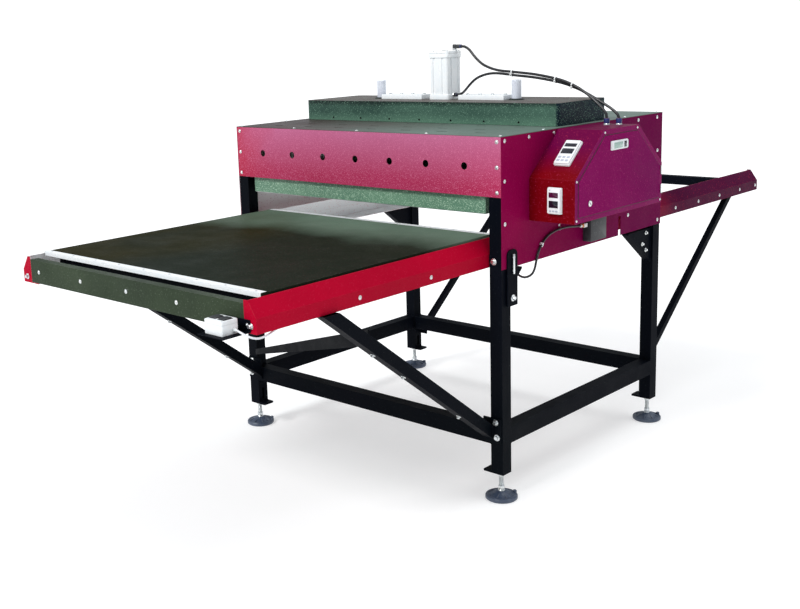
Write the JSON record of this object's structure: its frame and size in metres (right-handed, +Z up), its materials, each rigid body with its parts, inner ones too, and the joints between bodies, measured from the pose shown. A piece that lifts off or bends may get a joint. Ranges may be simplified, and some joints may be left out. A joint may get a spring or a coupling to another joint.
{
  "type": "pneumatic heat press",
  "caption": "Large-format pneumatic heat press: open tube stand, long side rails with a sliding lower table, boxed press head with top cylinder, side control box and start buttons.",
  "frame": {"origin": "centre of the bounding box's bottom face, on the floor under the head", "axes": "+X to the control box side, +Y along the table travel away from the operator, +Z up"},
  "size_m": [1.53, 3.342, 1.5793],
  "materials": {
    "air_elbow_bottom": "black moulded fitting",
    "air_elbow_top": "black moulded fitting",
    "air_hose_bottom": "black polyurethane hose or rubber lead",
    "air_hose_top": "black polyurethane hose or rubber lead",
    "base_rail_front": "satin black powder coat",
    "base_rail_left": "satin black powder coat",
    "base_rail_rear": "satin black powder coat",
    "base_rail_right": "satin black powder coat",
    "brace_front_left": "satin black powder coat",
    "brace_front_right": "satin black powder coat",
    "brace_rear_left": "satin black powder coat",
    "brace_rear_right": "satin black powder coat",
    "button_box": "off-white moulded plastic",
    "button_bracket": "satin black powder coat",
    "button_lead": "white sheathed lead",
    "control_box": "red hammertone powder coat",
    "control_door": "red hammertone powder coat",
    "control_lead": "black polyurethane hose or rubber lead",
    "counter_display": "off-white moulded plastic",
    "cross_stay": "satin black powder coat",
    "crosshead": "dark green-black hammertone paint",
    "cylinder_barrel": "anodised aluminium",
    "cylinder_head": "anodised aluminium",
    "foot_front_left": "dark blue-grey moulded foot pad with a zinc plated spindle",
    "foot_front_right": "dark blue-grey moulded foot pad with a zinc plated spindle",
    "foot_rear_left": "dark blue-grey moulded foot pad with a zinc plated spindle",
    "foot_rear_right": "dark blue-grey moulded foot pad with a zinc plated spindle",
    "front_cover": "red hammertone powder coat",
    "front_cross_panel": "dark green-black hammertone paint",
    "guide_rod_left": "ground steel",
    "guide_rod_right": "ground steel",
    "heating_plate": "anodised aluminium",
    "leg_front_left": "satin black powder coat",
    "leg_front_right": "satin black powder coat",
    "leg_rear_left": "satin black powder coat",
    "leg_rear_right": "satin black powder coat",
    "piston_rod": "ground steel",
    "platen_beam": "satin black powder coat",
    "platen_housing": "dark green-black hammertone paint",
    "press_timer": "off-white moulded plastic",
    "rear_cover": "red hammertone powder coat",
    "rear_cross_bar": "satin black powder coat",
    "roller_front_left": "ground steel",
    "roller_front_right": "ground steel",
    "roller_rear_left": "ground steel",
    "roller_rear_right": "ground steel",
    "side_beam_left": "satin black powder coat",
    "side_beam_right": "satin black powder coat",
    "side_panel_left": "red hammertone powder coat",
    "side_panel_right": "red hammertone powder coat",
    "side_rail_left": "red hammertone powder coat",
    "side_rail_right": "red hammertone powder coat",
    "solenoid_valve": "black moulded plastic",
    "start_button_left": "black moulded plastic",
    "start_button_right": "black moulded plastic",
    "table_frame": "satin black powder coat",
    "table_plate": "dark green-black hammertone paint",
    "temperature_controller": "off-white moulded plastic",
    "top_cover": "dark green-black hammertone paint"
  },
  "bodies": {
    "frame": {"air_elbow_bottom": "air_elbow_bottom", "air_elbow_top": "air_elbow_top", "air_hose_bottom": "air_hose_bottom", "air_hose_top": "air_hose_top", "base_rail_front": "base_rail_front", "base_rail_left": "base_rail_left", "base_rail_rear": "base_rail_rear", "base_rail_right": "base_rail_right", "brace_front_left": "brace_front_left", "brace_front_right": "brace_front_right", "brace_rear_left": "brace_rear_left", "brace_rear_right": "brace_rear_right", "button_box": "button_box", "button_bracket": "button_bracket", "button_lead": "button_lead", "control_box": "control_box", "control_door": "control_door", "control_lead": "control_lead", "counter_display": "counter_display", "cross_stay": "cross_stay", "crosshead": "crosshead", "cylinder_barrel": "cylinder_barrel", "cylinder_head": "cylinder_head", "front_cover": "front_cover", "front_cross_panel": "front_cross_panel", "leg_front_left": "leg_front_left", "leg_front_right": "leg_front_right", "leg_rear_left": "leg_rear_left", "leg_rear_right": "leg_rear_right", "press_timer": "press_timer", "rear_cover": "rear_cover", "rear_cross_bar": "rear_cross_bar", "side_beam_left": "side_beam_left", "side_beam_right": "side_beam_right", "side_panel_left": "side_panel_left", "side_panel_right": "side_panel_right", "side_rail_left": "side_rail_left", "side_rail_right": "side_rail_right", "solenoid_valve": "solenoid_valve", "temperature_controller": "temperature_controller", "top_cover": "top_cover"},
    "platen": {"platen_housing": "platen_housing", "heating_plate": "heating_plate", "platen_beam": "platen_beam", "guide_rod_left": "guide_rod_left", "guide_rod_right": "guide_rod_right", "piston_rod": "piston_rod"},
    "table": {"table_frame": "table_frame", "table_plate": "table_plate"},
    "start_button_left": {"start_button_left": "start_button_left"},
    "start_button_right": {"start_button_right": "start_button_right"},
    "roller_front_left": {"roller_front_left": "roller_front_left"},
    "foot_front_left": {"foot_front_left": "foot_front_left"},
    "roller_front_right": {"roller_front_right": "roller_front_right"},
    "foot_front_right": {"foot_front_right": "foot_front_right"},
    "roller_rear_left": {"roller_rear_left": "roller_rear_left"},
    "foot_rear_left": {"foot_rear_left": "foot_rear_left"},
    "roller_rear_right": {"roller_rear_right": "roller_rear_right"},
    "foot_rear_right": {"foot_rear_right": "foot_rear_right"}
  },
  "joints": [
    {"name": "table_slide", "type": "slide", "parent": "frame", "child": "table", "axis": [0, 1, 0], "range_m": [0, 2.02]},
    {"name": "platen_slide", "type": "slide", "parent": "frame", "child": "platen", "axis": [0, 0, -1], "range_m": [0, 0.079]},
    {"name": "roller_front_left_spin", "type": "hinge", "parent": "table", "child": "roller_front_left", "pos_m": [-0.60405, -1.3985, 0.8583], "axis": [1, 0, 0], "range_deg": [-5800, 5]},
    {"name": "foot_front_left_thread", "type": "slide", "parent": "frame", "child": "foot_front_left", "axis": [0, 0, -1], "range_m": [0, 0.03]},
    {"name": "roller_front_right_spin", "type": "hinge", "parent": "table", "child": "roller_front_right", "pos_m": [0.44395, -1.3985, 0.8583], "axis": [1, 0, 0], "range_deg": [-5800, 5]},
    {"name": "foot_front_right_thread", "type": "slide", "parent": "frame", "child": "foot_front_right", "axis": [0, 0, -1], "range_m": [0, 0.03]},
    {"name": "roller_rear_left_spin", "type": "hinge", "parent": "table", "child": "roller_rear_left", "pos_m": [-0.60405, -0.5185, 0.8583], "axis": [1, 0, 0], "range_deg": [-5800, 5]},
    {"name": "foot_rear_left_thread", "type": "slide", "parent": "frame", "child": "foot_rear_left", "axis": [0, 0, -1], "range_m": [0, 0.03]},
    {"name": "roller_rear_right_spin", "type": "hinge", "parent": "table", "child": "roller_rear_right", "pos_m": [0.44395, -0.5185, 0.8583], "axis": [1, 0, 0], "range_deg": [-5800, 5]},
    {"name": "foot_rear_right_thread", "type": "slide", "parent": "frame", "child": "foot_rear_right", "axis": [0, 0, -1], "range_m": [0, 0.03]},
    {"name": "start_button_left_press", "type": "slide", "parent": "frame", "child": "start_button_left", "axis": [0, 0, -1], "range_m": [0, 0.003], "stiffness_N_per_m": 400, "springref_m": -0.001},
    {"name": "start_button_right_press", "type": "slide", "parent": "frame", "child": "start_button_right", "axis": [0, 0, -1], "range_m": [0, 0.003], "stiffness_N_per_m": 400, "springref_m": -0.001}
  ],
  "couplings": [
    {"joint": "roller_front_left_spin", "follows": "table_slide", "rad_per_m": -50},
    {"joint": "roller_front_right_spin", "follows": "table_slide", "rad_per_m": -50},
    {"joint": "roller_rear_left_spin", "follows": "table_slide", "rad_per_m": -50},
    {"joint": "roller_rear_right_spin", "follows": "table_slide", "rad_per_m": -50}
  ]
}
